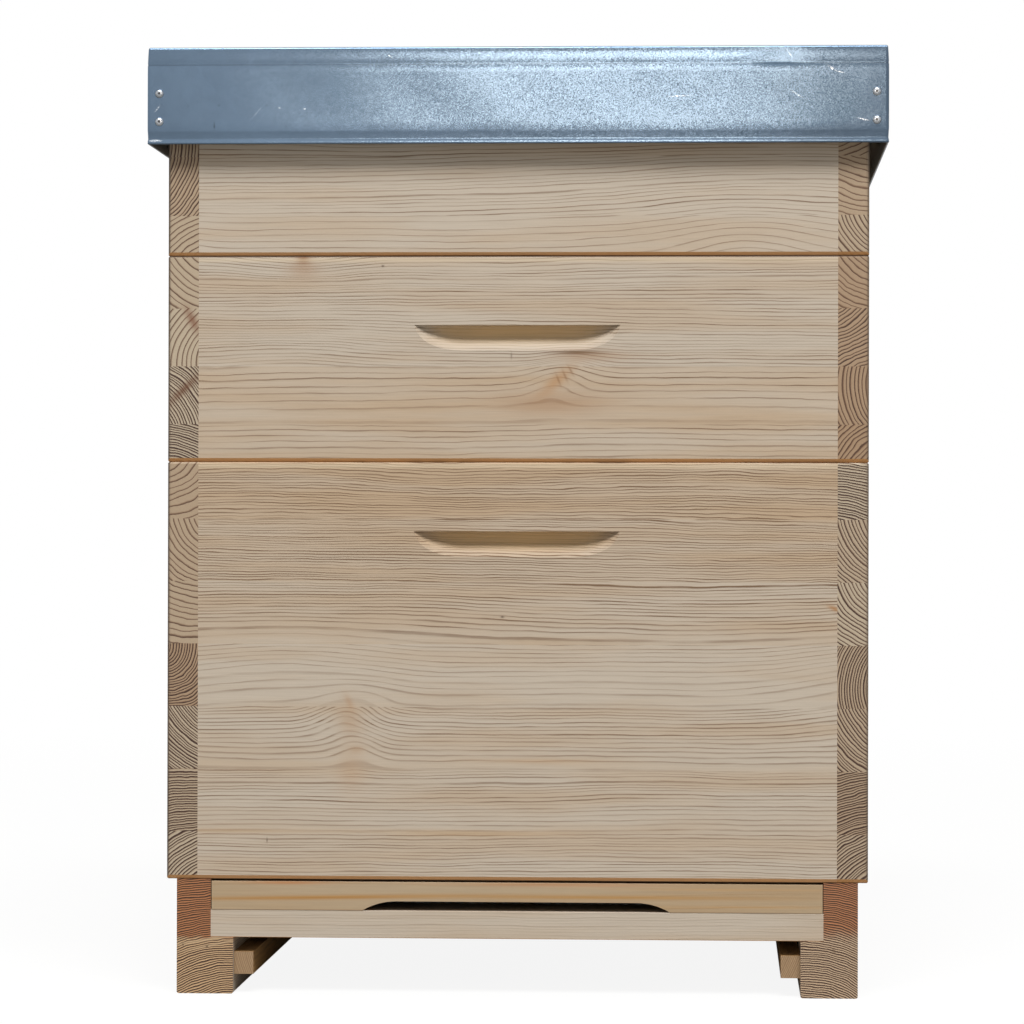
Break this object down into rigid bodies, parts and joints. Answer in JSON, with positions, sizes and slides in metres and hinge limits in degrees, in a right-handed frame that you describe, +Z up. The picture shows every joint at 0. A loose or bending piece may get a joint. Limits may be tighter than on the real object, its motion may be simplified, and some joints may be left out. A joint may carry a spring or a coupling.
{
  "type": "dadant beehive",
  "caption": "Stacked timber Dadant beehive with a screened floor, entrance reducer, brood box, honey super, top feeder and telescoping galvanised roof; boxes lift off.",
  "frame": {"origin": "centre of the hive's footprint, on the ground under the floor rails", "axes": "+Z up; the entrance faces -Y; +X to the right for someone who looks at the entrance"},
  "size_m": [0.5264, 0.537, 0.6748],
  "materials": {
    "box_pine": "planed, unpainted",
    "rail_pine": "sawn end grain",
    "floor_pine": "planed, unpainted",
    "frame_pine": "planed, unpainted",
    "plywood": "matt",
    "galvanised_sheet": "dull galvanised",
    "rivet_metal": "satin",
    "zinc_screws": "zinc plated",
    "rest_strip": "satin",
    "wire_mesh": "satin",
    "beeswax": "embossed wax",
    "foam_board": "matt foam",
    "clear_plastic": "clear"
  },
  "bodies": {
    "floor": {"floor_rail_left": "rail_pine", "floor_rail_right": "rail_pine", "floor_front_bar": "floor_pine", "floor_back_bar": "floor_pine", "mesh_battens": "floor_pine", "floor_mesh": "wire_mesh", "tray_runner_left": "floor_pine", "tray_runner_right": "floor_pine", "floor_screws": "zinc_screws"},
    "entrance_reducer": {"entrance_reducer": "floor_pine"},
    "varroa_tray": {"varroa_tray": "plywood"},
    "brood_box": {"brood_front_board": "box_pine", "brood_back_board": "box_pine", "brood_left_board": "box_pine", "brood_right_board": "box_pine", "brood_screws": "zinc_screws", "brood_frame_rests": "rest_strip", "brood_foundation": "beeswax", "brood_frame_01": "frame_pine", "brood_frame_02": "frame_pine", "brood_frame_03": "frame_pine", "brood_frame_04": "frame_pine", "brood_frame_05": "frame_pine", "brood_frame_06": "frame_pine", "brood_frame_07": "frame_pine", "brood_frame_08": "frame_pine", "brood_frame_09": "frame_pine", "brood_frame_10": "frame_pine", "brood_frame_11": "frame_pine", "brood_frame_12": "frame_pine"},
    "honey_super": {"super_front_board": "box_pine", "super_back_board": "box_pine", "super_left_board": "box_pine", "super_right_board": "box_pine", "super_screws": "zinc_screws", "super_frame_rests": "rest_strip", "super_foundation": "beeswax", "super_frame_01": "frame_pine", "super_frame_02": "frame_pine", "super_frame_03": "frame_pine", "super_frame_04": "frame_pine", "super_frame_05": "frame_pine", "super_frame_06": "frame_pine", "super_frame_07": "frame_pine", "super_frame_08": "frame_pine", "super_frame_09": "frame_pine", "super_frame_10": "frame_pine", "super_frame_11": "frame_pine", "super_frame_12": "frame_pine"},
    "top_feeder": {"feeder_front_board": "box_pine", "feeder_back_board": "box_pine", "feeder_left_board": "box_pine", "feeder_right_board": "box_pine", "feeder_panel": "plywood", "feeder_weir": "frame_pine"},
    "feeder_cover": {"feeder_cover": "clear_plastic"},
    "roof": {"roof_sheet": "galvanised_sheet", "roof_rivets": "rivet_metal", "roof_insulation": "foam_board", "roof_lining": "plywood"}
  },
  "joints": [
    {"name": "reducer_pull", "type": "slide", "parent": "floor", "child": "entrance_reducer", "axis": [0, -1, 0], "range_m": [0, 0.12]},
    {"name": "tray_slide", "type": "slide", "parent": "floor", "child": "varroa_tray", "axis": [0, 1, 0], "range_m": [0, 0.45]},
    {"name": "brood_lift", "type": "slide", "parent": "floor", "child": "brood_box", "axis": [0, 0, 1], "range_m": [0, 0.2]},
    {"name": "super_lift", "type": "slide", "parent": "brood_box", "child": "honey_super", "axis": [0, 0, 1], "range_m": [0, 0.3]},
    {"name": "feeder_lift", "type": "slide", "parent": "honey_super", "child": "top_feeder", "axis": [0, 0, 1], "range_m": [0, 0.2]},
    {"name": "cover_lift", "type": "slide", "parent": "top_feeder", "child": "feeder_cover", "axis": [0, 0, 1], "range_m": [0, 0.022]},
    {"name": "roof_lift", "type": "slide", "parent": "top_feeder", "child": "roof", "axis": [0, 0, 1], "range_m": [0, 0.2]}
  ]
}
